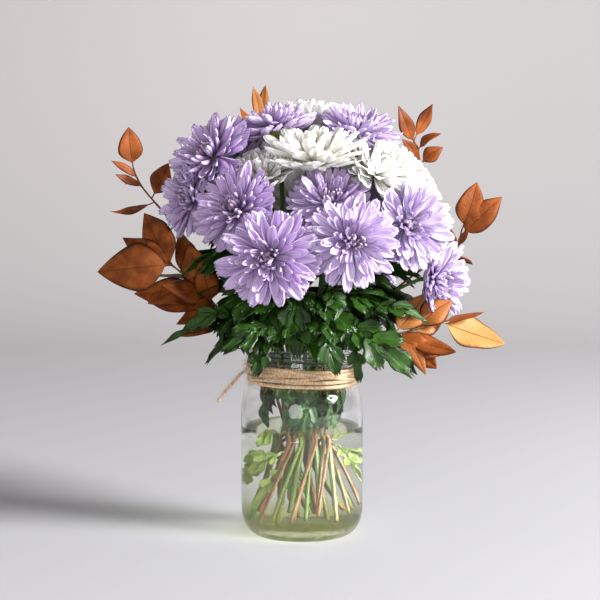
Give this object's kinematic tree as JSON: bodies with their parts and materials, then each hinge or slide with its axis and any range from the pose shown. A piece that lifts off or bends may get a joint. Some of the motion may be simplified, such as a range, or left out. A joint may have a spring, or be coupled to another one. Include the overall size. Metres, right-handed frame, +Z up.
{
  "type": "chrysanthemums in a glass jar",
  "caption": "Hand-tied chrysanthemums with copper leaf sprays and lobed green leaves, standing in water in a clear glass jar tied with twine.",
  "frame": {"origin": "centre of the jar's flat underside, on the surface that it stands on", "axes": "+Z up along the jar's axis; -Y is the front of the bouquet, +X is to its right"},
  "size_m": [0.3226, 0.2106, 0.3626],
  "materials": {
    "glass": "gloss",
    "water": "gloss",
    "twine": "matte",
    "lilac_petal": "matte",
    "white_petal": "matte",
    "stem": "satin",
    "copper_leaf": "matte",
    "green_leaf": "satin"
  },
  "bodies": {
    "root": {"glass_jar": "glass", "jar_water": "water", "twine_wrap": "twine", "twine_tail": "twine", "lilac_bloom_1": "lilac_petal", "lilac_bloom_2": "lilac_petal", "lilac_bloom_3": "lilac_petal", "lilac_bloom_4": "lilac_petal", "lilac_bloom_5": "lilac_petal", "lilac_bloom_6": "lilac_petal", "lilac_bloom_7": "lilac_petal", "lilac_bloom_8": "lilac_petal", "lilac_bloom_9": "lilac_petal", "lilac_bloom_10": "lilac_petal", "lilac_bloom_11": "lilac_petal", "lilac_bloom_12": "lilac_petal", "lilac_bloom_13": "lilac_petal", "lilac_bloom_14": "lilac_petal", "white_bloom_1": "white_petal", "white_bloom_2": "white_petal", "white_bloom_3": "white_petal", "white_bloom_4": "white_petal", "white_bloom_5": "white_petal", "white_bloom_6": "white_petal", "lilac_stem_1": "stem", "lilac_stem_2": "stem", "lilac_stem_3": "stem", "lilac_stem_4": "stem", "lilac_stem_5": "stem", "lilac_stem_6": "stem", "lilac_stem_7": "stem", "lilac_stem_8": "stem", "lilac_stem_9": "stem", "lilac_stem_10": "stem", "lilac_stem_11": "stem", "lilac_stem_12": "stem", "lilac_stem_13": "stem", "lilac_stem_14": "stem", "white_stem_1": "stem", "white_stem_2": "stem", "white_stem_3": "stem", "white_stem_4": "stem", "white_stem_5": "stem", "white_stem_6": "stem", "copper_spray_1": "copper_leaf", "copper_spray_2": "copper_leaf", "copper_spray_3": "copper_leaf", "copper_spray_4": "copper_leaf", "copper_spray_5": "copper_leaf", "copper_spray_6": "copper_leaf", "green_leaf_1": "green_leaf", "green_leaf_2": "green_leaf", "green_leaf_3": "green_leaf", "green_leaf_4": "green_leaf", "green_leaf_5": "green_leaf", "green_leaf_6": "green_leaf", "green_leaf_7": "green_leaf", "green_leaf_8": "green_leaf", "green_leaf_9": "green_leaf", "green_leaf_10": "green_leaf"}
  },
  "joints": []
}
